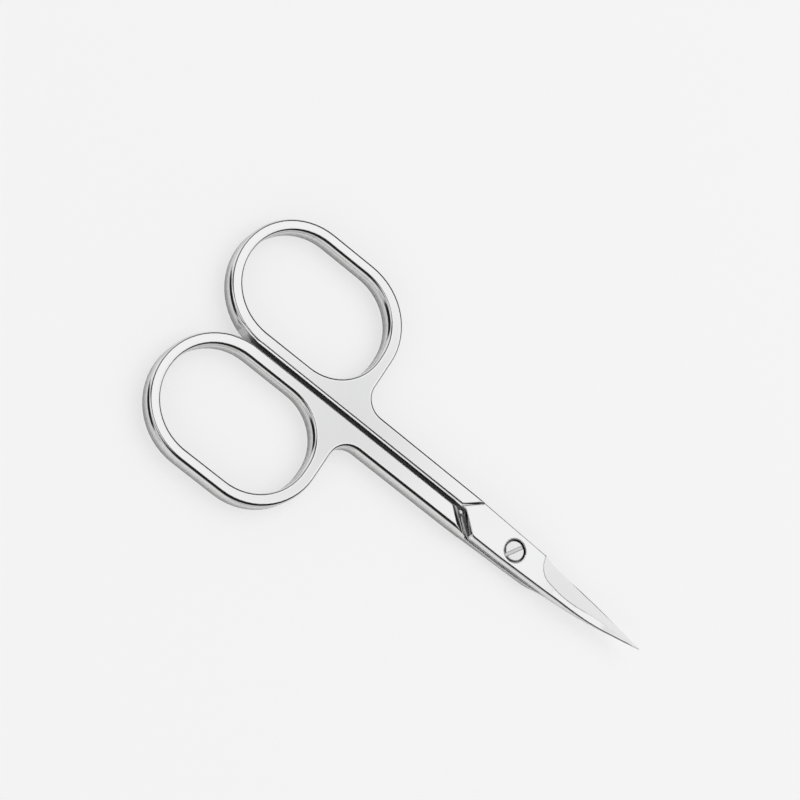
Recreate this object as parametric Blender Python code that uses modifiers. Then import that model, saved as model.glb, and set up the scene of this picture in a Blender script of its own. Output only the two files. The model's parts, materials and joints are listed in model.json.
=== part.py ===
"""Manicure scissors, closed and lying on their back.

Two steel halves and the slotted screw that they turn on. Each half is one forging: a finger
ring, a shank of full thickness, and a blade of half thickness that crosses over the other
half's blade at the joint. The rear half has the same shape as the front half, turned half a
turn about the long axis; then both blades are bowed up towards the front face, as blades
for nails are. Metres, +Z up, tips towards +X. The origin is under the middle of the closed
scissors, on the surface that they lie on.
"""

import math

import bmesh
import bpy
from mathutils import Matrix, Vector

NAME = "manicure_scissors"

# Layers.
HANDLE_THICKNESS = 0.0036   # rings and shanks, front face to back face
BLADE_SINK = 0.0003         # how far the blade's face lies under the shank's face
BLADE_GAP = 0.0001          # between the inner faces of the two blades
HANDLE_GAP = 0.0005         # between the two closed shanks
RUNNING_CLEARANCE = 0.00005 # round the screw, and under its head

# Finger ring, measured to its walls.
RING_REACH = 0.06377        # pivot to the far end of the rings
RING_HOLE_LENGTH = 0.0262
RING_HOLE_WIDTH = 0.01847
RING_FAR_BAR = 0.00187
RING_NEAR_BAR = 0.00215
RING_OUTER_BAR = 0.00194
RING_INNER_BAR = 0.00231    # the side along the other half
HOLE_CORNER_SHARE = 0.498   # corner radius of the hole, of its width
HOLE_INNER_CORNER_SHARE = 0.45
EDGE_ROUND = 0.00045

# Shank.
SHANK_WIDTH_AT_RING = 0.00315
SHANK_WIDTH_AT_JOINT = 0.0030
NECK_RADIUS = 0.0035        # hollow corner where the ring meets the shank
SPLIT_CHAMFER = 0.00034     # along the line where the shanks meet

# Joint. Distances along the scissors are from the pivot.
SHANK_END = 0.0074
SHOULDER_START = 0.0107     # where the shoulder's foot leaves the split
SHOULDER_ANGLE = math.radians(45.0)
SHOULDER_FALL_RADIUS = 0.0021
STEP_START = 0.0119         # where the step down to the blade's face leaves the split
STEP_ANGLE = math.radians(41.5)
HEEL_START = 0.01043        # where the blade's heel leaves the split
HEEL_ANGLE = math.radians(43.5)
HEEL_ROUND = 0.0011
ROOT_DEPTH_SHARE = 0.4      # how far the blade's root runs into the shank, of its width
ROOT_SIDE_SHARE = 0.7

# Blade.
BLADE_LENGTH = 0.0262       # pivot to tip
SPINE_REACH = 0.0028        # pivot's axis to the spine, at the inner face
SPINE_FACE_REACH = 0.00247  # the same at the outer face
EDGE_REACH = 0.00312        # pivot's axis to the cutting side, at the inner face
FACE_REACH = 0.00284        # the same at the outer face
SIDE_DRAFT = math.radians(12.0)
SIDE_CONVERGE = math.radians(2.1)
SIDE_START = 0.0135         # where the leaning side runs out of the shank's side
BOW_START = 0.003           # from here to the tip both blades bow up
BOW_RISE = 0.0016
BOW_STEPS = 20
CUTTING_EDGE = 0.00008      # what is left of the thickness at the cutting edge
WHEEL_RADIUS = 0.012        # grinding wheel that hollows the blade's face
WHEEL_RIM = 0.0050          # rounding of the wheel's rim, which shapes the run-out
RIM_STEPS = 12
AXLE_ROUNDS = 12            # of nearer and nearer guesses at the wheel's axle
WHEEL_STEPS = 180
GRIND_START = 0.0037        # the wheel's flat side, where its axle passes
# Outline of the blade: along it as shares of its length, across as shares of its reach.
SPINE_SHARES = ((-0.20, 1.01), (-0.06, 1.0), (0.13, 0.935), (0.29, 0.89), (0.45, 0.82),
                (0.588, 0.68), (0.716, 0.51), (0.811, 0.35), (0.897, 0.205), (0.965, 0.075))
EDGE_SHARES = ((-0.32, 1.035), (-0.15, 1.01), (0.0, 1.0), (0.15, 0.925), (0.30, 0.835),
               (0.41, 0.735), (0.508, 0.63), (0.603, 0.535), (0.70, 0.425), (0.77, 0.34),
               (0.84, 0.245), (0.90, 0.16), (0.96, 0.065))
# Height of the blade's face on its way to the tip, as shares of the blade's thickness.
TAPER_SHARES = ((0.33, 1.02), (0.40, 0.97), (0.47, 0.83), (0.55, 0.62), (0.63, 0.43),
                (0.71, 0.31), (0.80, 0.24), (0.90, 0.18), (1.02, 0.13))
# Two places along the blade where the wheel's surface meets the face's ridge and the edge.
GRIND_PLACE_SHARES = (0.325, 0.76)
GRIND_RIDGE_SHARES = (-0.32, -0.10)
GRIND_HEIGHT_SHARES = (1.0, 0.27)
GRIND_EDGE_SHARES = (0.80, 0.345)

# Screw.
HEAD_RADIUS = 0.00172
RECESS_RADIUS = 0.00189
HEAD_HEIGHT = 0.00062
HEAD_SINK = 0.00006         # under the blade's face
HEAD_CHAMFER = 0.00018
SCREW_RADIUS = 0.00105
SLOT_WIDTH = 0.00055
SLOT_DEPTH = 0.00038
SLOT_ANGLE = math.radians(59.0)

OVERRUN = 0.002             # how far a cutter runs past what it cuts
WELD = 0.000001
BURIED = 0.00003            # how far a joined face lies under the face that covers it
ARC_STEP = math.radians(6.0)
ROUND_STEPS = 64
CURVE_STEPS = 3             # straight stretches between two points of a smooth curve
EDGE_STEPS = 4              # flats round a quarter turn of an edge
CREASE = math.radians(30)   # a sharper edge than this is left crisp by the shading
QUARTER = math.radians(90)
UNIT = 1.0                  # side of the cube that a block is scaled from

FRONT_COLOUR = (0.84, 0.84, 0.85)
REAR_COLOUR = (0.83, 0.83, 0.84)
SCREW_COLOUR = (0.78, 0.78, 0.79)
HALF_ROUGHNESS = 0.14
SCREW_ROUGHNESS = 0.18

half_thickness = HANDLE_THICKNESS / 2
blade_face = half_thickness - BLADE_SINK
inner_face = BLADE_GAP / 2
blade_thickness = blade_face - inner_face
split = HANDLE_GAP / 2

parts = bpy.data.collections.new(NAME)
cutters = bpy.data.collections.new(NAME + "_cutters")


def clear_scene():
    for thing in list(bpy.data.objects):
        bpy.data.objects.remove(thing, do_unlink=True)
    bpy.context.scene.collection.children.link(parts)
    bpy.context.scene.collection.children.link(cutters)


def steel(name, colour, roughness):
    """A plated steel: metallic, with the part's colour and polish."""
    made = bpy.data.materials.new(name)
    made.use_nodes = True
    shader = made.node_tree.nodes["Principled BSDF"]
    shader.inputs["Base Color"].default_value = (*colour, 1.0)
    shader.inputs["Metallic"].default_value = 1.0
    shader.inputs["Roughness"].default_value = roughness
    made.diffuse_color = (*colour, 1.0)
    return made


def rounded(corners):
    """Points of a closed outline through corners (x, y, radius), each turned with an arc."""
    points = []
    count = len(corners)
    for index, (x, y, radius) in enumerate(corners):
        here = Vector((x, y))
        back = (Vector(corners[index - 1][:2]) - here).normalized()
        ahead = (Vector(corners[(index + 1) % count][:2]) - here).normalized()
        turn = math.pi - back.angle(ahead)
        if radius == 0 or turn < ARC_STEP / 2:
            points.append((x, y))
            continue
        reach = radius * math.tan(turn / 2)
        middle = here + (back + ahead).normalized() * (radius / math.cos(turn / 2))
        start = here + back * reach - middle
        side = 1 if back.x * ahead.y - back.y * ahead.x < 0 else -1
        steps = max(2, round(turn / ARC_STEP))
        for step in range(steps + 1):
            angle = side * turn * step / steps
            spoke = Matrix.Rotation(angle, 2) @ start
            points.append(tuple(middle + spoke))
    return points


def smooth(points, steps):
    """A curve through the points, each stretch shared into steps."""
    line = []
    ends = [points[0], *points, points[-1]]
    for a, b, c, d in zip(ends, ends[1:], ends[2:], ends[3:]):
        for step in range(steps):
            t = step / steps
            line.append(tuple(
                q + t * ((r - p) / 2 + t * ((2 * p - 5 * q + 4 * r - s) / 2
                                            + t * (3 * q - 3 * r + s - p) / 2))
                for p, q, r, s in zip(a, b, c, d)))
    return line + [tuple(points[-1])]


def baked(thing, name):
    """The object's evaluated shape as a mesh of its own."""
    graph = bpy.context.evaluated_depsgraph_get()
    mesh = bpy.data.meshes.new_from_object(thing.evaluated_get(graph))
    mesh.name = name
    return mesh


def plate(name, outlines, depth, edge=0):
    """A flat plate with these outlines, centred on its own XY plane, its edges rounded."""
    curve = bpy.data.curves.new(name, "CURVE")
    curve.dimensions = "2D"
    curve.fill_mode = "BOTH"
    curve.extrude = depth / 2 - edge
    curve.bevel_depth = edge
    curve.bevel_resolution = EDGE_STEPS - 1
    curve.offset = -edge
    for outline in outlines:
        spline = curve.splines.new("POLY")
        spline.points.add(len(outline) - 1)
        for point, place in zip(spline.points, outline):
            point.co = (*place, 0, 1)
        spline.use_cyclic_u = True
    drawn = bpy.data.objects.new(name + "_outline", curve)
    cutters.objects.link(drawn)
    bpy.context.view_layer.update()
    mesh = baked(drawn, name)
    bpy.data.objects.remove(drawn, do_unlink=True)
    work = bmesh.new()
    work.from_mesh(mesh)
    bmesh.ops.remove_doubles(work, verts=work.verts, dist=WELD)
    bmesh.ops.recalc_face_normals(work, faces=work.faces)
    work.to_mesh(mesh)
    work.free()
    made = bpy.data.objects.new(name, mesh)
    cutters.objects.link(made)
    hide(made)
    return made


def turned(name, profile, steps=ROUND_STEPS):
    """A solid turned about Z from (radius, height) points that run from top to bottom."""
    mesh = bpy.data.meshes.new(name)
    edges = [(n, n + 1) for n in range(len(profile) - 1)]
    mesh.from_pydata([(radius, 0, height) for radius, height in profile], edges, [])
    made = bpy.data.objects.new(name, mesh)
    cutters.objects.link(made)
    screw = made.modifiers.new("Turn", "SCREW")
    screw.steps = steps
    screw.render_steps = steps
    screw.use_merge_vertices = True
    screw.merge_threshold = WELD
    hide(made)
    return made


def block(name, low, high):
    """A box between two corners."""
    mesh = bpy.data.meshes.new(name)
    work = bmesh.new()
    bmesh.ops.create_cube(work, size=UNIT)
    spans = [b - a for a, b in zip(low, high)]
    middle = [(a + b) / 2 for a, b in zip(low, high)]
    bmesh.ops.transform(work, matrix=Matrix.Translation(middle) @ Matrix.Diagonal((*spans, 1)),
                        verts=work.verts)
    work.to_mesh(mesh)
    work.free()
    made = bpy.data.objects.new(name, mesh)
    cutters.objects.link(made)
    hide(made)
    return made


def hide(cutter):
    cutter.hide_render = True
    cutter.display_type = "WIRE"


def join(target, other, operation):
    modifier = target.modifiers.new(operation.title() + " " + other.name, "BOOLEAN")
    modifier.operation = operation
    modifier.solver = "EXACT"
    modifier.object = other


def cut(target, other):
    join(target, other, "DIFFERENCE")


def settled(target):
    """The object again with its modifiers worked into its mesh."""
    bpy.context.view_layer.update()
    mesh = baked(target, target.name)
    target.modifiers.clear()
    target.data = mesh
    return target


def handle_blank():
    """Ring and shank of the front half, full thickness, before the joint is cut into it."""
    hole_far = RING_FAR_BAR - RING_REACH
    hole_near = hole_far + RING_HOLE_LENGTH
    hole_low = split + RING_INNER_BAR
    hole_high = hole_low + RING_HOLE_WIDTH
    ring_near = hole_near + RING_NEAR_BAR
    ring_high = hole_high + RING_OUTER_BAR
    corner = RING_HOLE_WIDTH * HOLE_CORNER_SHARE
    inner_corner = RING_HOLE_WIDTH * HOLE_INNER_CORNER_SHARE
    outline = rounded([
        (-SHANK_END, split, 0),
        (-RING_REACH, split, corner + RING_INNER_BAR),
        (-RING_REACH, ring_high, corner + RING_FAR_BAR),
        (ring_near, ring_high, corner + RING_OUTER_BAR),
        (ring_near, split + SHANK_WIDTH_AT_RING, NECK_RADIUS),
        (-SHANK_END, split + SHANK_WIDTH_AT_JOINT, 0),
    ])
    hole = rounded([
        (hole_far, hole_low, corner),
        (hole_far, hole_high, corner),
        (hole_near, hole_high, corner),
        (hole_near, hole_low, inner_corner),
    ])
    blank = plate("handle_blank", [outline, hole], HANDLE_THICKNESS, EDGE_ROUND)
    for side in (1, -1):
        chamfer = block("split_chamfer", (-RING_REACH, -SPLIT_CHAMFER, -SPLIT_CHAMFER),
                        (OVERRUN - SHANK_END, SPLIT_CHAMFER, SPLIT_CHAMFER))
        # A square bar on its edge, whose flank passes through both ends of the chamfer.
        chamfer.rotation_euler = (side * QUARTER / 2, 0, 0)
        reach = SPLIT_CHAMFER * (math.sqrt(2) - 1) / 2
        chamfer.location = (0, split - reach, side * (half_thickness + reach))
        cut(blank, chamfer)
    cut(blank, shoulder_fall())
    cut(blank, step_cutter())
    return settled(blank)


def across(angle, start):
    """Stands a plate's profile upright, so that its edge runs at an angle from the split."""
    upright = Matrix.Rotation(QUARTER, 4, "X")
    turn = Matrix.Rotation(angle - QUARTER, 4, "Z")
    return Matrix.Translation((-start, split, 0)) @ turn @ upright


def shoulder_fall():
    """What is taken off the back of the shank's end, so that it falls to the inner face."""
    turn = math.acos(1 - half_thickness / SHOULDER_FALL_RADIUS)
    reach = SHOULDER_FALL_RADIUS * math.sin(turn)
    steps = round(turn / ARC_STEP)
    arc = [(SHOULDER_FALL_RADIUS * math.sin(turn * step / steps) - reach,
            SHOULDER_FALL_RADIUS * (1 - math.cos(turn * step / steps)) - half_thickness)
           for step in range(steps + 1)]
    under = -half_thickness - OVERRUN
    cutter = plate("shoulder_fall", [[(-reach, under), *arc, (OVERRUN, 0), (OVERRUN, under)]],
                   BLADE_LENGTH)
    cutter.matrix_world = across(SHOULDER_ANGLE, SHOULDER_START)
    return cutter


def step_cutter():
    """What is taken off the shank's face beyond the step, down to just under the blade's face."""
    over = half_thickness + OVERRUN
    low = blade_face - BURIED
    run = half_thickness - low
    length = BLADE_LENGTH
    outline = [(-(over - half_thickness), over), (0, half_thickness), (run, low), (length, low),
               (length, over)]
    cutter = plate("step", [outline], BLADE_LENGTH)
    cutter.matrix_world = across(STEP_ANGLE, STEP_START)
    return cutter


def blade_outline():
    """Blade with its heel, at the inner face, and a root that is buried in the shank."""
    heel = Vector((-math.cos(HEEL_ANGLE), math.sin(HEEL_ANGLE)))
    start = Vector((-HEEL_START, split))
    root = start + heel * (SHANK_WIDTH_AT_JOINT * ROOT_DEPTH_SHARE)
    spine = [(along * BLADE_LENGTH, -across * SPINE_REACH) for along, across in SPINE_SHARES]
    edge = [(along * BLADE_LENGTH, across * EDGE_REACH) for along, across in EDGE_SHARES]
    corner = start - heel * ((split - spine[0][1]) / heel.y)
    turn = rounded([(*root, 0), (*corner, HEEL_ROUND), (*spine[1], 0)])[:-1]
    side = smooth(spine[1:] + [(BLADE_LENGTH, 0)], CURVE_STEPS)
    back = smooth(edge, CURVE_STEPS)[::-1]
    inside = [(-SIDE_START, split + SHANK_WIDTH_AT_JOINT - BURIED),
              (-SIDE_START, split + SHANK_WIDTH_AT_JOINT * ROOT_SIDE_SHARE)]
    return turn + side + back + inside


def blade_blank():
    """The blade before grinding, with its spine leaning in towards the outer face."""
    made = plate("blade_blank", [blade_outline()], blade_thickness)
    for vertex in made.data.vertices:
        if vertex.co.z > 0 and vertex.co.y < 0:
            vertex.co.y *= SPINE_FACE_REACH / SPINE_REACH
    made.location = (0, 0, (inner_face + blade_face) / 2)
    return made


def half_blank():
    """The forging that both halves are made from, as the front half lies."""
    blank = handle_blank()
    join(blank, blade_blank(), "UNION")
    for cutter in (shoulder_cutter(), taper_cutter(), wheel(), side_cutter()):
        cut(blank, cutter)
    return settled(blank)


def shoulder_cutter():
    """Clears the other blade's layer beyond the shoulder."""
    low = -half_thickness - OVERRUN
    high = inner_face - BURIED
    run = Vector((math.cos(SHOULDER_ANGLE), math.sin(SHOULDER_ANGLE)))
    start = Vector((-SHOULDER_START, split))
    top = EDGE_REACH + OVERRUN
    foot = -top
    outline = [tuple(start + run * ((foot - split) / run.y)),
               tuple(start + run * ((top - split) / run.y)),
               (BLADE_LENGTH + OVERRUN, top), (BLADE_LENGTH + OVERRUN, foot)]
    cutter = plate("other_layer", [outline], high - low)
    cutter.location = (0, 0, (high + low) / 2)
    return cutter


def taper_cutter():
    """Thins the blade towards its tip."""
    line = smooth([(along * BLADE_LENGTH, inner_face + high * blade_thickness)
                   for along, high in TAPER_SHARES], CURVE_STEPS)
    over = half_thickness + OVERRUN
    outline = [*line, (line[-1][0], over), (line[0][0], over)]
    cutter = plate("taper", [outline], (EDGE_REACH + OVERRUN) * 2)
    cutter.rotation_euler = (QUARTER, 0, 0)
    return cutter


def wheel_centres():
    """Two points on the grinding wheel's axle, at the two places along the blade."""
    axle = Vector((1, 0, 0))
    centres = []
    for _ in range(AXLE_ROUNDS):
        centres = []
        for along, ridge, high, edge in zip(GRIND_PLACE_SHARES, GRIND_RIDGE_SHARES,
                                            GRIND_HEIGHT_SHARES, GRIND_EDGE_SHARES):
            at_ridge = Vector((along * BLADE_LENGTH, ridge * SPINE_FACE_REACH,
                               inner_face + high * blade_thickness))
            at_edge = Vector((along * BLADE_LENGTH, edge * EDGE_REACH, inner_face + CUTTING_EDGE))
            chord = at_edge - at_ridge
            chord -= axle * chord.dot(axle)
            up = axle.cross(chord).normalized()
            rise = math.sqrt(WHEEL_RADIUS ** 2 - (chord.length / 2) ** 2)
            centres.append((at_ridge + at_edge) / 2 + up * rise)
        axle = (centres[1] - centres[0]).normalized()
    return centres


def wheel():
    """The grinding wheel that hollows the blade's face down to the cutting edge."""
    first, second = wheel_centres()
    axle = (second - first).normalized()
    rim = [(WHEEL_RADIUS - WHEEL_RIM * (1 - math.cos(QUARTER * step / RIM_STEPS)),
            WHEEL_RIM * (1 - math.sin(QUARTER * step / RIM_STEPS)))
           for step in range(RIM_STEPS + 1)]
    profile = [(0, BLADE_LENGTH), (WHEEL_RADIUS, BLADE_LENGTH), *rim, (0, 0)]
    cutter = turned("grinding_wheel", profile, WHEEL_STEPS)
    start = first + axle * ((GRIND_START - first.x) / axle.x)
    cutter.matrix_world = (Matrix.Translation(start)
                           @ axle.to_track_quat("Z", "Y").to_matrix().to_4x4())
    return cutter


def side_cutter():
    """Leans the cutting side of the joint inwards, from the inner face to the outer one."""
    depth = blade_thickness / math.cos(SIDE_DRAFT)
    cutter = block("side_draft", (-SIDE_START, 0, -depth), (BLADE_LENGTH, EDGE_REACH, depth))
    turn = Matrix.Rotation(-SIDE_CONVERGE, 4, "Z") @ Matrix.Rotation(SIDE_DRAFT, 4, "X")
    cutter.matrix_world = Matrix.Translation((0, FACE_REACH, blade_face)) @ turn
    return cutter


def bow(piece, side):
    """Bows the blade: it rises with the distance from the pivot's axis, so that it still turns."""
    work = bmesh.new()
    work.from_mesh(piece.data)
    for step in range(BOW_STEPS):
        along = BOW_START + (BLADE_LENGTH - BOW_START) * step / BOW_STEPS
        bmesh.ops.bisect_plane(work, geom=[*work.verts, *work.edges, *work.faces],
                               plane_co=(along, 0, 0), plane_no=(1, 0, 0), dist=WELD)
    for vertex in work.verts:
        share = (vertex.co.xy.length - BOW_START) / (BLADE_LENGTH - BOW_START)
        if vertex.co.x > 0 and share > 0:
            vertex.co.z += side * BOW_RISE * share ** 2
    work.to_mesh(piece.data)
    work.free()


def round_hole(name, radius, low, high):
    """A cylinder on the pivot's axis that drills a hole or a recess."""
    return turned(name, [(0, high), (radius, high), (radius, low), (0, low)])


def finished(made, material):
    """Moves a piece from the cutters to the parts and gives it its material and shading."""
    cutters.objects.unlink(made)
    parts.objects.link(made)
    made.hide_render = False
    made.display_type = "TEXTURED"
    made.data.materials.clear()
    made.data.materials.append(material)
    made.data.shade_smooth()
    made.data.set_sharp_from_angle(angle=CREASE)
    return made


def half(name, blank, material, front):
    """One half from the blank: the front one lies as it is, the rear one is turned over."""
    made = bpy.data.objects.new(name, blank.data.copy())
    cutters.objects.link(made)
    over = half_thickness + OVERRUN
    cut(made, round_hole(name + "_hole", SCREW_RADIUS + RUNNING_CLEARANCE, -over, over))
    if front:
        floor = blade_face - HEAD_SINK - HEAD_HEIGHT - RUNNING_CLEARANCE
        cut(made, round_hole(name + "_recess", RECESS_RADIUS, floor, over))
    settled(made)
    bow(made, 1 if front else -1)
    return finished(made, material)


def pivot_screw(material):
    """Slotted screw: its head in the front half's recess, its tail flush with the back."""
    top = blade_face - HEAD_SINK
    seat = top - HEAD_HEIGHT
    made = turned("pivot_screw", [
        (0, top), (HEAD_RADIUS - HEAD_CHAMFER, top), (HEAD_RADIUS, top - HEAD_CHAMFER),
        (HEAD_RADIUS, seat), (SCREW_RADIUS, seat), (SCREW_RADIUS, -blade_face), (0, -blade_face)])
    slot = block("slot", (-HEAD_RADIUS - OVERRUN, -SLOT_WIDTH / 2, top - SLOT_DEPTH),
                 (HEAD_RADIUS + OVERRUN, SLOT_WIDTH / 2, top + OVERRUN))
    slot.rotation_euler = (0, 0, SLOT_ANGLE)
    cut(made, slot)
    return finished(settled(made), material)


def empty(name, place, parent=None):
    made = bpy.data.objects.new(name, None)
    made.empty_display_size = RING_HOLE_WIDTH
    parts.objects.link(made)
    made.parent = parent
    made.location = place
    return made


def main():
    clear_scene()
    blank = half_blank()
    front = half("front_half", blank, steel("front_steel", FRONT_COLOUR, HALF_ROUGHNESS), True)
    rear = half("rear_half", blank, steel("rear_steel", REAR_COLOUR, HALF_ROUGHNESS), False)
    screw = pivot_screw(steel("screw_steel", SCREW_COLOUR, SCREW_ROUGHNESS))
    rest = empty(NAME, (0, 0, 0))
    pivot = empty("pivot", ((RING_REACH - BLADE_LENGTH) / 2, 0, half_thickness), rest)
    for piece in (front, rear, screw):
        piece.parent = pivot
    rear.rotation_euler = (math.pi, 0, 0)


main()
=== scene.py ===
from collections import namedtuple
import json
import math

import bpy
from mathutils import Matrix, Vector

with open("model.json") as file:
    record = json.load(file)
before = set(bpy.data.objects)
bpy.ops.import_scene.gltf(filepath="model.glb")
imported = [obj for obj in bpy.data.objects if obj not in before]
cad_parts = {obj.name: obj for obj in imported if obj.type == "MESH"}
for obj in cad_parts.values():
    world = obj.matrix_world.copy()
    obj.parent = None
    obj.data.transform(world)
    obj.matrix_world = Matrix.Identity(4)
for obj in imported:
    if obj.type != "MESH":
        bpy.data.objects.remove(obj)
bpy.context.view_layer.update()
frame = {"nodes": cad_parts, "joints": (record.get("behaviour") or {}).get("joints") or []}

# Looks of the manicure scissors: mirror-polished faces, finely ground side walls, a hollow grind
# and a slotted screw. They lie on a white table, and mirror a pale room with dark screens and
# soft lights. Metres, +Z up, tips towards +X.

pivot = Vector(frame["joints"][0]["pos_m"])

# Camera, as it stood for the photograph.
CAMERA_TARGET = Vector((-0.01040, 0.00771, 0.0036))
CAMERA_DISTANCE = 0.4562
CAMERA_AZIMUTH = math.radians(-26.67)
CAMERA_ELEVATION = math.radians(63.22)
CAMERA_ROLL = math.radians(63.02)
CAMERA_NEAREST = CAMERA_DISTANCE / 100
LENS_MM = 130.5
SENSOR_MM = 36

# Table.
TABLE_SIDE = 6.0
TABLE_DROP = 0.00002         # below the scissors, so that the two never share a plane
TABLE_WHITE = (0.90, 0.90, 0.90, 1.0)
TABLE_GLOW_SHARE = 0.60      # how much of the seen white is there without any light
TABLE_MIRRORED_SHARE = 0.35  # the same in a reflection

# Room: what lights the table, what the camera sees, and how bright its walls and screens are in
# a reflection.
ROOM_LIGHT = (0.55, 0.55, 0.55, 1.0)
ROOM_SEEN = (1.0, 1.0, 1.0, 1.0)
ROOM_PALE = 0.74
ROOM_DARK = 0.02

# What the steel mirrors, on a map of the sky seen from below: the middle's x and y, half the
# width and height, the soft share of the rim, and how strong it is.
Place = namedtuple("Place", "middle_x middle_y half_width half_height soft strength")
DARK_SCREENS = {
    "round the top light": Place(0.20, 0.16, 0.60, 0.92, 0.20, 1.0),
    "beside the rings": Place(-0.80, -0.42, 0.46, 0.50, 0.25, 1.0),
}
SOFT_LIGHTS = {
    "over the faces": Place(0.22, 0.40, 0.36, 0.205, 0.35, 1.00),
    "overhead": Place(-0.15, 0.00, 0.31, 0.17, 0.50, 0.95),
    "low in front": Place(0.10, -1.14, 0.66, 0.42, 0.25, 1.05),
    "at the rings": Place(-0.85, 0.22, 0.40, 0.34, 0.50, 0.95),
}
VEILS = {
    "over the neck": Place(0.193, 0.386, 0.055, 0.060, 1.00, 0.18),
}

# Lamp panels: degrees round and degrees up of the middle, distance, width, height, brightness.
PANELS = {
    "key_panel": (148.8, 58.0, 0.80, 0.90, 0.62, 1.30),
    "front_panel": (-20.0, 30.0, 0.90, 1.10, 0.42, 0.80),
}

# Steel: colour, darkest share of it, metallic, smoothest and roughest, how the ground lines are
# squeezed along each axis, depth of the lines, smears, scratches, how far a dulled edge reaches,
# share of the colour darkened as painted shade in gaps, slots and where the table is close, and
# how far the painted shade looks for the other side.
Finish = namedtuple("Finish", "grey shade metallic smooth rough squeeze depth smear scratches "
                              "edge lost near")
FINISHES = {
    "mirror_steel": Finish((0.88, 0.88, 0.885), 0.98, 1.0, 0.03, 0.12, (0.3, 3.0, 1.0), 0.02,
                           0.2, 0.2, 0.00032, 0.0, 0.0012),
    "satin_steel": Finish((0.84, 0.84, 0.835), 0.72, 1.0, 0.08, 0.26, (1.6, 1.6, 0.12), 0.35,
                          0.2, 0.2, 0.00032, 0.9, 0.0012),
    "ground_steel": Finish((0.97, 0.97, 0.975), 0.97, 0.04, 0.42, 0.55, (2.4, 0.25, 0.6), 0.1,
                           0.2, 0.2, 0.00012, 0.0, 0.0012),
    "cut_steel": Finish((0.92, 0.92, 0.915), 0.80, 1.0, 0.06, 0.20, (1.6, 1.6, 0.12), 0.20,
                        0.2, 0.2, 0.00008, 0.9, 0.0030),
    "turned_steel": Finish((0.84, 0.84, 0.85), 0.9, 1.0, 0.05, 0.20, (1.5, 1.5, 1.5), 0.06,
                           0.3, 0.3, 0.00010, 0.6, 0.0012),
}
HALF_FINISHES = ("mirror_steel", "satin_steel", "ground_steel", "cut_steel")
SCREW_FINISH = "turned_steel"
FACE, WALL, GRIND, STEP = range(len(HALF_FINISHES))
STEEL_IOR = 1.45
BUMP_HEIGHT = 0.00002
EDGE_RAYS = 8

# Ground lines, smears and scratches; each Scale is per metre.
COARSE_LINES = {"Scale": 900.0, "Detail": 3.0, "Roughness": 0.65}
FINE_LINES = {"Scale": 3100.0, "Detail": 2.0, "Roughness": 0.6}
COARSE_SHARE = 0.55
LINE_SHARE = 0.5
SMEARS = {"Scale": 140.0, "Detail": 5.0, "Roughness": 0.6, "Distortion": 0.6}
SMEAR_FROM = 0.42
SMEAR_FULL = 0.72
SCRATCH_BENDS = {"Scale": 60.0, "Detail": 2.0}
SCRATCH_CELLS = 150.0
SCRATCH_WIDTH = 0.006

# Where each finish lies, by how upright or how far over to the side a facet's normal is, and by
# the distance from the pivot towards the rings.
WALL_UPRIGHT = 0.35
STEP_UPRIGHT = 0.9
GRIND_LEAN = 0.12
STEP_NEAR = 0.0062
STEP_FAR = 0.0125

# Shading of the facets.
SHANK_END = 0.0074           # from the pivot towards the rings: the handle starts here
HANDLE_CREASE = math.radians(38)
BLADE_CREASE = math.radians(10)
SAME_PLACE = 6               # decimals of a metre
FLAT_UPRIGHT = 0.9999
STEEP_UPRIGHT = 0.01
CROWN = math.radians(46)     # how round the handle's side walls look across their height
RIM_LEAN = math.radians(66)  # how far the blade's side walls lean over at their rims
EDGE_ROUND = 0.00045
SCREW_SIDE = 0.0022          # the walls of the bore and the recess, up to here, stay straight
SPLIT_SIDE = 0.0012          # the walls along the split, up to here, stay flat

# The colour sockets of a Mix node.
MIX_FIRST, MIX_SECOND, MIX_RESULT = 6, 7, 2


def node(tree, kind, **settings):
    """A shader node with its settings; a setting named after a socket goes on the socket."""
    made = tree.nodes.new(kind)
    for name, value in settings.items():
        if name in made.inputs:
            made.inputs[name].default_value = value
        else:
            setattr(made, name, value)
    return made


def link(tree, start, end):
    tree.links.new(start, end)


def set_sockets(made, **values):
    """Constant values of sockets whose names have several words, written with underscores."""
    for name, value in values.items():
        made.inputs[name.replace("_", " ")].default_value = value


def math_node(tree, operation, first, second=0.0):
    """A Math node whose operands are sockets or numbers."""
    made = node(tree, "ShaderNodeMath", operation=operation)
    for socket, value in zip(made.inputs, (first, second)):
        if isinstance(value, bpy.types.NodeSocket):
            link(tree, value, socket)
        else:
            socket.default_value = value
    return made.outputs[0]


def group_tree(name, inputs, outputs):
    """An empty shader node group with named float or vector inputs and float outputs."""
    tree = bpy.data.node_groups.new(name, "ShaderNodeTree")
    for label, kind, value in inputs:
        socket = tree.interface.new_socket(label, in_out="INPUT", socket_type=kind)
        socket.default_value = value
    for label in outputs:
        tree.interface.new_socket(label, in_out="OUTPUT", socket_type="NodeSocketFloat")
    return tree, tree.nodes.new("NodeGroupInput"), tree.nodes.new("NodeGroupOutput")


def placed_group(tree, name):
    return node(tree, "ShaderNodeGroup", node_tree=bpy.data.node_groups[name])


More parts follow.
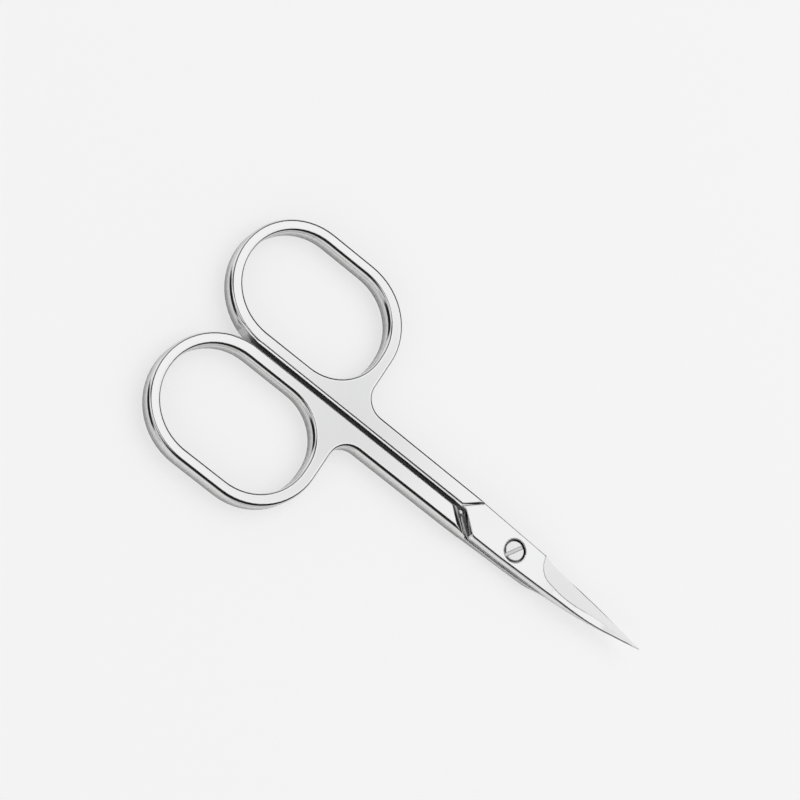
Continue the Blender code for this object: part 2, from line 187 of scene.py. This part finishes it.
def grinding_lines():
    """Fine lines that a belt or a wheel leaves: noise stretched along one direction."""
    tree, given, out = group_tree("grinding_lines", [
        ("Squeeze", "NodeSocketVector", (1.0, 1.0, 1.0)),
    ], ["Lines"])
    place = node(tree, "ShaderNodeTexCoord")
    stretched = node(tree, "ShaderNodeVectorMath", operation="MULTIPLY")
    link(tree, place.outputs["Object"], stretched.inputs[0])
    link(tree, given.outputs["Squeeze"], stretched.inputs[1])
    coarse = node(tree, "ShaderNodeTexNoise", **COARSE_LINES)
    fine = node(tree, "ShaderNodeTexNoise", **FINE_LINES)
    for texture in (coarse, fine):
        link(tree, stretched.outputs[0], texture.inputs["Vector"])
    lines = math_node(tree, "ADD",
                      math_node(tree, "MULTIPLY", coarse.outputs["Fac"], COARSE_SHARE),
                      math_node(tree, "MULTIPLY", fine.outputs["Fac"], 1 - COARSE_SHARE))
    link(tree, lines, out.inputs["Lines"])


def handling_marks():
    """Soft smears and a few hairline scratches, which show on any polished steel."""
    tree, given, out = group_tree("handling_marks", [
        ("Smear", "NodeSocketFloat", 0.5),
        ("Scratches", "NodeSocketFloat", 0.5),
    ], ["Haze", "Scratch"])
    place = node(tree, "ShaderNodeTexCoord")
    smear = node(tree, "ShaderNodeTexNoise", **SMEARS)
    link(tree, place.outputs["Object"], smear.inputs["Vector"])
    soft = node(tree, "ShaderNodeMapRange", interpolation_type="SMOOTHSTEP")
    set_sockets(soft, From_Min=SMEAR_FROM, From_Max=SMEAR_FULL)
    link(tree, smear.outputs["Fac"], soft.inputs["Value"])
    link(tree, math_node(tree, "MULTIPLY", soft.outputs["Result"], given.outputs["Smear"]),
         out.inputs["Haze"])
    bent = node(tree, "ShaderNodeTexNoise", **SCRATCH_BENDS)
    cells = node(tree, "ShaderNodeTexVoronoi", feature="DISTANCE_TO_EDGE", Scale=SCRATCH_CELLS)
    link(tree, place.outputs["Object"], bent.inputs["Vector"])
    link(tree, bent.outputs["Color"], cells.inputs["Vector"])
    thin = node(tree, "ShaderNodeMapRange")
    set_sockets(thin, From_Min=SCRATCH_WIDTH, From_Max=0.0)
    link(tree, cells.outputs["Distance"], thin.inputs["Value"])
    link(tree, math_node(tree, "MULTIPLY", thin.outputs["Result"], given.outputs["Scratches"]),
         out.inputs["Scratch"])


def soft_light():
    """A soft-rimmed oval of light at a place of the sky's map."""
    tree, given, out = group_tree("soft_light", [
        ("X", "NodeSocketFloat", 0.0),
        ("Y", "NodeSocketFloat", 0.0),
        ("Middle X", "NodeSocketFloat", 0.0),
        ("Middle Y", "NodeSocketFloat", 0.0),
        ("Half width", "NodeSocketFloat", 1.0),
        ("Half height", "NodeSocketFloat", 1.0),
        ("Soft from", "NodeSocketFloat", 0.7),
        ("Strength", "NodeSocketFloat", 1.0),
    ], ["Light"])
    squares = []
    for axis, middle, half in (("X", "Middle X", "Half width"), ("Y", "Middle Y", "Half height")):
        away = math_node(tree, "SUBTRACT", given.outputs[axis], given.outputs[middle])
        share = math_node(tree, "DIVIDE", away, given.outputs[half])
        squares.append(math_node(tree, "MULTIPLY", share, share))
    reach = math_node(tree, "SQRT", math_node(tree, "ADD", *squares))
    rim = node(tree, "ShaderNodeMapRange", interpolation_type="SMOOTHSTEP")
    set_sockets(rim, From_Max=1.0, To_Max=0.0)
    link(tree, reach, rim.inputs["Value"])
    link(tree, given.outputs["Soft from"], rim.inputs["From Min"])
    link(tree, given.outputs["Strength"], rim.inputs["To Min"])
    link(tree, rim.outputs["Result"], out.inputs["Light"])


def steel(name):
    """Steel whose roughness and tint follow its lines, smears and scratches, with painted shade
    in gaps.
    """
    finish = FINISHES[name]
    made = bpy.data.materials.new(name)
    made.use_nodes = True
    tree = made.node_tree
    shader = tree.nodes["Principled BSDF"]
    set_sockets(shader, Metallic=finish.metallic, IOR=STEEL_IOR)
    lines = placed_group(tree, "grinding_lines")
    set_sockets(lines, Squeeze=finish.squeeze)
    marks = placed_group(tree, "handling_marks")
    set_sockets(marks, Smear=finish.smear, Scratches=finish.scratches)

    worn = math_node(tree, "ADD", marks.outputs["Haze"], marks.outputs["Scratch"])
    total = math_node(tree, "ADD",
                      math_node(tree, "MULTIPLY", lines.outputs["Lines"], LINE_SHARE), worn)
    roughness = node(tree, "ShaderNodeMapRange")
    set_sockets(roughness, To_Min=finish.smooth, To_Max=finish.rough)
    link(tree, total, roughness.inputs["Value"])
    link(tree, roughness.outputs["Result"], shader.inputs["Roughness"])

    tint = node(tree, "ShaderNodeMix", data_type="RGBA")
    tint.inputs[MIX_FIRST].default_value = (*finish.grey, 1.0)
    tint.inputs[MIX_SECOND].default_value = (*[part * finish.shade for part in finish.grey], 1.0)
    link(tree, lines.outputs["Lines"], tint.inputs[0])
    # Painted shade: the colour is darkened where other steel or the table is close by, in gaps,
    # slots and along the lower edges of the walls.
    painted_gap_shade = node(tree, "ShaderNodeAmbientOcclusion", samples=EDGE_RAYS, Distance=finish.near)
    painted_shade_factor = node(tree, "ShaderNodeMapRange")
    set_sockets(painted_shade_factor, To_Min=1 - finish.lost)
    link(tree, painted_gap_shade.outputs["AO"], painted_shade_factor.inputs["Value"])
    darkened = node(tree, "ShaderNodeVectorMath", operation="SCALE")
    link(tree, tint.outputs[MIX_RESULT], darkened.inputs[0])
    link(tree, painted_shade_factor.outputs["Result"], darkened.inputs["Scale"])
    link(tree, darkened.outputs[0], shader.inputs["Base Color"])

    dulled = node(tree, "ShaderNodeBevel", samples=EDGE_RAYS, Radius=finish.edge)
    bump = node(tree, "ShaderNodeBump", Strength=finish.depth, Distance=BUMP_HEIGHT)
    link(tree, lines.outputs["Lines"], bump.inputs["Height"])
    link(tree, dulled.outputs["Normal"], bump.inputs["Normal"])
    link(tree, bump.outputs["Normal"], shader.inputs["Normal"])
    return made


def on_handle(place):
    return place[0] < pivot.x - SHANK_END


def leaning(normal, lean):
    """The level part of a normal, turned up by an angle."""
    level = Vector((normal.x, normal.y, 0)).normalized()
    return level * math.cos(lean) + Vector((0, 0, math.sin(lean)))


def rolled_over(normal, place, middle, outward):
    """The normal of a blade's side wall, leaning over towards the blade's face at its rim."""
    to_axis = Vector((place[0] - pivot.x, place[1], 0)).length
    if on_handle(place) or to_axis < SCREW_SIDE or (place[2] - middle) * outward <= 0:
        return normal
    return leaning(normal, outward * RIM_LEAN)


def crowned(normal, place):
    """The normal of a side wall that is slightly round from its upper to its lower edge."""
    middle = pivot.z
    if abs(normal.z) > FLAT_UPRIGHT or abs(place[1]) < SPLIT_SIDE or not on_handle(place):
        return normal
    height = max(-1.0, min(1.0, (place[2] - middle) / (middle - EDGE_ROUND)))
    return leaning(normal,
                   CROWN * height + math.asin(normal.z) * (1 - CROWN / math.radians(90)))


def smooth_facets(piece, outward=0):
    """Shades round stretches smooth, keeps flat faces flat and creases crisp.

    outward is 1 for a half whose blade has its face up, -1 for one whose face is down.
    """
    mesh = piece.data
    places = [tuple(round(axis, SAME_PLACE) for axis in vertex.co) for vertex in mesh.vertices]
    around = {}
    for face in mesh.polygons:
        face.use_smooth = True
        for corner in face.vertices:
            around.setdefault(places[corner], []).append(face)
    normals = []
    for face in mesh.polygons:
        crease = HANDLE_CREASE if on_handle(face.center) else BLADE_CREASE
        heights = [places[corner][2] for corner in face.vertices]
        middle = (max(heights) + min(heights)) / 2
        for corner in face.vertices:
            near = [other for other in around[places[corner]]
                    if face.normal.angle(other.normal, 0.0) < crease]
            flat = [other for other in near if abs(other.normal.z) > FLAT_UPRIGHT]
            steep = [other for other in near if abs(other.normal.z) < STEEP_UPRIGHT]
            total = Vector()
            for other in flat or steep or near:
                total += other.normal * other.area
            normal = (total or face.normal).normalized()
            if outward and abs(face.normal.z) < WALL_UPRIGHT:
                normal = rolled_over(normal, places[corner], middle, outward)
            normals.append(crowned(normal, places[corner]))
    mesh.normals_split_custom_set(normals)


def finish_of(face):
    """Which finish a facet of a half has: face, wall, hollow grind or the step of the joint."""
    upright = abs(face.normal.z)
    if upright < STEP_UPRIGHT and STEP_NEAR < pivot.x - face.center.x < STEP_FAR:
        return STEP
    if upright < WALL_UPRIGHT:
        return WALL
    if abs(face.normal.y) > GRIND_LEAN and face.center.x > pivot.x:
        return GRIND
    return FACE


def dress(piece, finishes):
    """Puts the steels in a piece's slots; with more than one, each facet takes its own."""
    mesh = piece.data
    mesh.materials.clear()
    for finish in finishes:
        mesh.materials.append(finish)
    if len(finishes) > 1:
        for face in mesh.polygons:
            face.material_index = finish_of(face)


def panel(name, azimuth, elevation, distance, width, height, brightness):
    """A light panel that faces the scissors."""
    lamp = bpy.data.lights.new(name, "AREA")
    lamp.shape = "RECTANGLE"
    lamp.size = width
    lamp.size_y = height
    lamp.energy = brightness * math.pi * width * height
    made = bpy.data.objects.new(name, lamp)
    bpy.context.scene.collection.objects.link(made)
    turn = (Matrix.Rotation(math.radians(azimuth), 4, "Z")
            @ Matrix.Rotation(math.radians(90 - elevation), 4, "X"))
    made.matrix_world = turn @ Matrix.Translation((0, 0, distance))
    made.visible_camera = False
    made.visible_glossy = False


def table():
    """White table that glows a little where it is seen, keeps the shadow, and is clear below."""
    bpy.ops.mesh.primitive_plane_add(size=TABLE_SIDE, location=(0, 0, -TABLE_DROP))
    made = bpy.context.object
    made.name = "table"
    finish = bpy.data.materials.new("table_white")
    finish.use_nodes = True
    tree = finish.node_tree
    tree.nodes.clear()
    path = node(tree, "ShaderNodeLightPath")
    seen = math_node(tree, "MULTIPLY", path.outputs["Is Camera Ray"], TABLE_GLOW_SHARE)
    mirrored = math_node(tree, "MULTIPLY", path.outputs["Is Glossy Ray"], TABLE_MIRRORED_SHARE)
    matt = node(tree, "ShaderNodeBsdfDiffuse", Color=TABLE_WHITE)
    glow = node(tree, "ShaderNodeEmission", Strength=1.0)
    side = node(tree, "ShaderNodeNewGeometry")
    clear = node(tree, "ShaderNodeBsdfTransparent")
    from_above = node(tree, "ShaderNodeMixShader")
    from_below = node(tree, "ShaderNodeMixShader")
    out = node(tree, "ShaderNodeOutputMaterial")
    for mix, share, first, second in (
            (from_above, math_node(tree, "MAXIMUM", seen, mirrored), matt, glow),
            (from_below, side.outputs["Backfacing"], from_above, clear)):
        for start, end in zip((share, first.outputs[0], second.outputs[0]), mix.inputs):
            link(tree, start, end)
    link(tree, from_below.outputs[0], out.inputs["Surface"])
    made.data.materials.append(finish)


def lit(tree, axes, place):
    """One light, screen or veil of the sky's map."""
    light = placed_group(tree, "soft_light")
    for axis in ("X", "Y"):
        link(tree, axes.outputs[axis], light.inputs[axis])
    set_sockets(light, Middle_X=place.middle_x, Middle_Y=place.middle_y,
                Half_width=place.half_width, Half_height=place.half_height,
                Soft_from=1 - place.soft, Strength=place.strength)
    return light.outputs["Light"]


def room():
    """Even light for the table; white for the camera; screens and soft lights for the steel."""
    world = bpy.data.worlds.new("room")
    bpy.context.scene.world = world
    world.use_nodes = True
    tree = world.node_tree
    tree.nodes.clear()
    direction = node(tree, "ShaderNodeTexCoord")
    axes = node(tree, "ShaderNodeSeparateXYZ")
    link(tree, direction.outputs["Generated"], axes.inputs[0])

    screened = ROOM_DARK
    for place in DARK_SCREENS.values():
        screened = math_node(tree, "MAXIMUM", screened, lit(tree, axes, place))
    mirrored = math_node(tree, "MULTIPLY", math_node(tree, "SUBTRACT", 1.0 + ROOM_DARK, screened),
                         ROOM_PALE)
    for place in SOFT_LIGHTS.values():
        mirrored = math_node(tree, "MAXIMUM", mirrored, lit(tree, axes, place))
    for place in VEILS.values():
        unveiled = math_node(tree, "SUBTRACT", 1.0, lit(tree, axes, place))
        mirrored = math_node(tree, "MULTIPLY", mirrored, unveiled)

    path = node(tree, "ShaderNodeLightPath")
    shine = node(tree, "ShaderNodeMix", data_type="RGBA")
    shine.inputs[MIX_FIRST].default_value = ROOM_LIGHT
    link(tree, path.outputs["Is Glossy Ray"], shine.inputs[0])
    link(tree, mirrored, shine.inputs[MIX_SECOND])
    seen = math_node(tree, "MAXIMUM", path.outputs["Is Camera Ray"],
                     path.outputs["Is Transmission Ray"])
    pick = node(tree, "ShaderNodeMix", data_type="RGBA")
    pick.inputs[MIX_SECOND].default_value = ROOM_SEEN
    link(tree, seen, pick.inputs[0])
    link(tree, shine.outputs[MIX_RESULT], pick.inputs[MIX_FIRST])
    light = node(tree, "ShaderNodeBackground")
    out = node(tree, "ShaderNodeOutputWorld")
    link(tree, pick.outputs[MIX_RESULT], light.inputs["Color"])
    link(tree, light.outputs[0], out.inputs["Surface"])


def camera():
    made = bpy.data.objects.new("camera", bpy.data.cameras.new("camera"))
    bpy.context.scene.collection.objects.link(made)
    made.data.sensor_width = SENSOR_MM
    made.data.lens = LENS_MM
    made.data.clip_start = CAMERA_NEAREST
    turn = (Matrix.Rotation(CAMERA_AZIMUTH, 4, "Z")
            @ Matrix.Rotation(math.pi / 2 - CAMERA_ELEVATION, 4, "X")
            @ Matrix.Rotation(CAMERA_ROLL, 4, "Z"))
    made.matrix_world = (Matrix.Translation(CAMERA_TARGET) @ turn
                         @ Matrix.Translation((0, 0, CAMERA_DISTANCE)))
    bpy.context.scene.camera = made


def main():
    bpy.context.scene.view_settings.view_transform = "Standard"
    for build_group in (grinding_lines, handling_marks, soft_light):
        build_group()
    half_steels = [steel(name) for name in HALF_FINISHES]
    for name, outward in (("front_half", 1), ("rear_half", -1)):
        dress(frame["nodes"][name], half_steels)
        smooth_facets(frame["nodes"][name], outward)
    dress(frame["nodes"]["pivot_screw"], [steel(SCREW_FINISH)])
    smooth_facets(frame["nodes"]["pivot_screw"])
    table()
    room()
    camera()
    for name, settings in PANELS.items():
        panel(name, *settings)


main()
